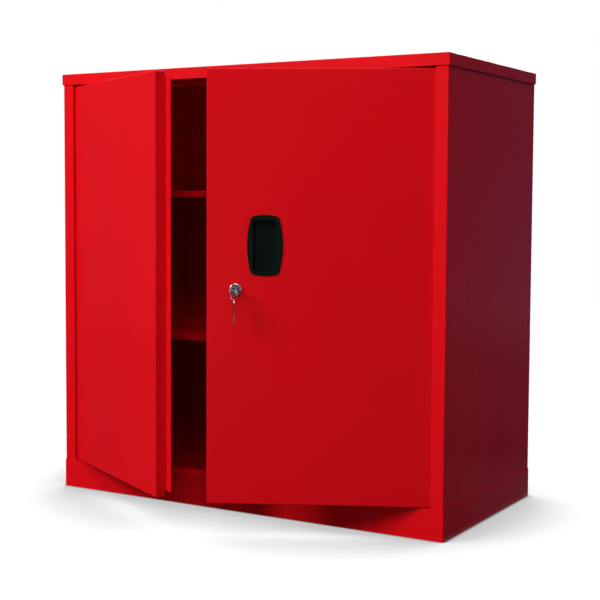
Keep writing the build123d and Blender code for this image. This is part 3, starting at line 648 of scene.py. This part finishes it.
@dataclass(frozen=True)
class Card:
    """Studio card that only reflections see, with a soft mottled tone.

    It stands upright and faces a point, or lies over the floor where it faces none.

    Attributes:
        name: The card's name.
        place: Its middle.
        faces: The point that it faces.
        width: Its width, in metres.
        height: Its height, or its depth where it lies.
        tone: Its dark and its light tone.
        mottle_scale: Scale of the mottling.
        mottle_detail: Finer mottling on top.
        mottle_twist: How far the mottling is twisted.
        dark_below: Noise under which only the dark tone shows.
        light_above: Noise over which only the light tone shows.
    """

    name: str
    place: Point
    faces: Point | None
    width: float
    height: float
    tone: Tone
    mottle_scale: float = 0.7
    mottle_detail: float = 1.0
    mottle_twist: float = 1.2
    dark_below: float = 0.38
    light_above: float = 0.66

    def build(self) -> None:
        """Put the card in its place."""
        turn = FLAT
        if self.faces:
            way = Vector(self.faces) - Vector(self.place)
            way.z = 0.0
            turn = way.to_track_quat("Z", "Y").to_euler()
        card = add_plane(self.name, 1.0, self.place, turn)
        card.scale = (self.width, self.height, 1.0)
        bpy.ops.object.transform_apply(location=True, rotation=True, scale=True)
        card.visible_camera = False
        card.visible_diffuse = False
        card.visible_shadow = False
        card.data.materials.append(self._material())

    def _material(self) -> bpy.types.Material:
        """Build the card's glowing, mottled material.

        Returns:
            The material.
        """
        made, write, shader = start_glow(self.name)
        mottle = write.noise(write.own_place(), {
            "Scale": self.mottle_scale,
            "Detail": self.mottle_detail,
            "Distortion": self.mottle_twist,
        })
        share = write.remap(mottle, self.dark_below, self.light_above)
        glow = write.blend(share, *self.tone.value)
        write.feed(shader, {"Base Color": opaque(BLACK), "Emission Color": glow})
        return made


@dataclass(frozen=True)
class Shade:
    """Soft shade painted into the floor's glow round what stands on it, where it sees less open
    sky.

    Attributes:
        reach: How far the shade spreads, in metres.
        ends: Share of open sky at which it ends.
        least: Brightness that is left where it is deepest.
        full: Share of open sky at which it is deepest.
        rays: Rays that feel for the sky.
    """

    reach: float
    ends: float
    least: float
    full: float = 0.5
    rays: int = 16

    def brightness(self, write: NodeWriter) -> Socket:
        """Write the painted shade into the floor's glow.

        Args:
            write: Writer of that material.

        Returns:
            The brightness that is left, from least to 1.
        """
        sky = write.add("ShaderNodeAmbientOcclusion", samples=self.rays)
        write.feed(sky, {"Distance": self.reach})
        share = write.remap(sky.outputs["AO"], self.full, self.ends)
        return write.math("MULTIPLY_ADD", share, 1.0 - self.least, self.least)


@dataclass
class Studio:
    """Floor, world, lamps, reflection cards and the camera.

    Attributes:
        camera_place: Where the camera stands, in metres.
        camera_turn: How it is turned, in degrees.
        focal_px: Its focal length, in pixels of the picture.
        picture_px: The picture's width and height.
        axis_px: The pixel that the lens points at.
        sensor_mm: The sensor's width.
        clip_start: Nearest distance that the camera shows.
        clip_end: Furthest distance that the camera shows.
        floor_size: The floor's sides, in metres.
        floor_grey: Its colour to the lamps, dark so that it throws little light back.
        floor_roughness: Its roughness.
        fade_start: Distance from the cabinet at which the shade starts to fade.
        fade_end: Distance at which only white is left.
        sky_tint: Colour of the even light.
        sky_light: Its strength.
        shades: The wide painted shade and the thin painted line of contact on the floor.
        lamps: All lamps.
        cards: All reflection cards.
    """

    camera_place: Point = (1.40101, -2.393548, 0.637538)
    camera_turn: Point = (86.19509, -0.27675, 30.80295)
    focal_px: float = 1277.28
    picture_px: float = 600.0
    axis_px: tuple[float, float] = (285.0, 284.5)
    sensor_mm: float = 36.0
    clip_start: float = 0.05
    clip_end: float = 200.0
    floor_size: float = 60.0
    floor_grey: Colour = (0.06, 0.061, 0.063)
    floor_roughness: float = 0.9
    fade_start: float = 1.3
    fade_end: float = 2.4
    sky_tint: Colour = (0.93, 0.96, 1.0)
    sky_light: float = 0.12
    shades: tuple[Shade, Shade] = (
        Shade(reach=0.3, ends=0.9, least=0.54),
        Shade(reach=0.012, ends=0.95, least=0.3),
    )
    lamps: tuple[Lamp, ...] = (
        Lamp("key", (-2.1, -3.35, 2.7), 1.4, 159.0, aim=(0.0, -0.2, 0.5)),
        Lamp("second", (1.6, -3.0, 2.75), 0.8, 46.0, aim=(0.0, -0.2, 0.5)),
        Lamp("top", (0.0, 0.5, 3.6), 3.0, 44.0, aim=(0.0, 0.0, 0.5)),
        Lamp("low", (0.2, -2.4, 0.35), 0.8, 5.2, aim=(0.0, -0.2, 0.1)),
        Lamp("rear", (-0.7, 4.2, 2.3), 1.8, 95.0, aim=(0.0, 0.2, 0.5)),
        Lamp("bay_top", (0.20, -0.05, 0.80), 0.08, 0.12),
    )
    # The flags lie a few millimetres over the floor, each at its own height, as they overlap.
    cards: tuple[Card, ...] = (
        Card("card_front", (0.8, -4.6, 1.6), (0.0, 0.0, 1.6), 9.0, 3.4, Tone.GREY),
        Card("card_left", (-3.6, -0.6, 1.6), (0.0, 0.0, 1.6), 6.5, 3.4, Tone.GREY),
        Card("card_right", (3.0, 3.2, 1.3), (0.4, 0.0, 1.3), 6.0, 3.0, Tone.VIOLET),
        Card("flag_front", (0.2, -2.2425, 0.004), None, 7.0, 4.015, Tone.DIM),
        Card("flag_left", (-2.45, 0.25, 0.002), None, 3.9, 1.7, Tone.DIM),
        Card("flag_side", (2.38, 0.7, 0.003), None, 3.84, 6.4, Tone.DUSK),
    )

    def build(self) -> None:
        """Set up everything round the cabinet."""
        self._camera()
        self._world()
        self._floor()
        for lamp in self.lamps:
            lamp.hang()
        for card in self.cards:
            card.build()
        bpy.context.scene.view_settings.view_transform = "Standard"
        LOG.info("studio set up")

    def _camera(self) -> None:
        """Stand the camera where the photograph was taken from."""
        data = bpy.data.cameras.new("camera")
        data.sensor_width = self.sensor_mm
        data.lens = self.focal_px * self.sensor_mm / self.picture_px
        middle = self.picture_px / 2
        data.shift_x = (middle - self.axis_px[0]) / self.picture_px
        data.shift_y = (self.axis_px[1] - middle) / self.picture_px
        data.clip_start = self.clip_start
        data.clip_end = self.clip_end
        camera = bpy.data.objects.new("camera", data)
        camera.location = self.camera_place
        camera.rotation_euler = [math.radians(turn) for turn in self.camera_turn]
        bpy.context.scene.collection.objects.link(camera)
        bpy.context.scene.camera = camera

    def _world(self) -> None:
        """Make a world that is white to look at and gives the object a weaker, even light."""
        world = bpy.data.worlds.new("studio")
        world.use_nodes = True
        world.node_tree.nodes.clear()
        write = NodeWriter(world.node_tree)
        mix = write.add("ShaderNodeMixShader")
        write.feed(mix, {
            "Fac": write.seen(),
            UNDER_SHADER: self._sky(write, self.sky_tint, self.sky_light),
            OVER_SHADER: self._sky(write, WHITE, 1.0),
        })
        write.feed(write.add("ShaderNodeOutputWorld"), {"Surface": mix.outputs["Shader"]})
        bpy.context.scene.world = world

    @staticmethod
    def _sky(write: NodeWriter, colour: Colour, strength: float) -> Socket:
        """Write an even sky.

        Args:
            write: Writer of the world.
            colour: The sky's colour.
            strength: Its brightness.

        Returns:
            The sky's shader.
        """
        sky = write.add("ShaderNodeBackground")
        write.feed(sky, {"Color": opaque(colour), "Strength": strength})
        return sky.outputs["Background"]

    def _floor(self) -> None:
        """Lay a white floor whose glow carries a painted shade of the cabinet over a dim real
        shadow from the lamps, and which fades into the background.
        """
        floor = add_plane("floor", self.floor_size, (0.0, 0.0, 0.0))
        made, write, shader = start_glow("white_floor")
        away = write.add("ShaderNodeVectorMath", operation="LENGTH")
        write.feed(away, {0: write.own_place()})
        faded = write.remap(away.outputs["Value"], self.fade_start, self.fade_end)
        # Painted shade: the glow darkens where the cabinet hides the sky, whatever the lamps do.
        glow = write.math("MULTIPLY", *(shade.brightness(write) for shade in self.shades))
        lost = write.math("SUBTRACT", 1.0, glow)
        lit = write.math("ADD", write.math("MULTIPLY", faded, lost), glow)
        shown = write.math("MULTIPLY", lit, write.seen())
        tone = write.add("ShaderNodeCombineColor")
        write.feed(tone, dict.fromkeys(("Red", "Green", "Blue"), shown))
        write.feed(shader, {
            "Roughness": self.floor_roughness,
            "Emission Color": tone.outputs["Color"],
            "Base Color": write.blend(faded, self.floor_grey, BLACK),
        })
        floor.data.materials.append(made)


def main() -> None:
    """Load the frame, light it and dress it."""
    logging.basicConfig(level=logging.INFO, format="%(name)s: %(message)s")
    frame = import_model()
    Studio().build()
    for kind in (Shell, Shelving, Pivots, Doors, Handle, LockWorks, Keys):
        kind(frame).build()


if __name__ == "__main__":
    main()
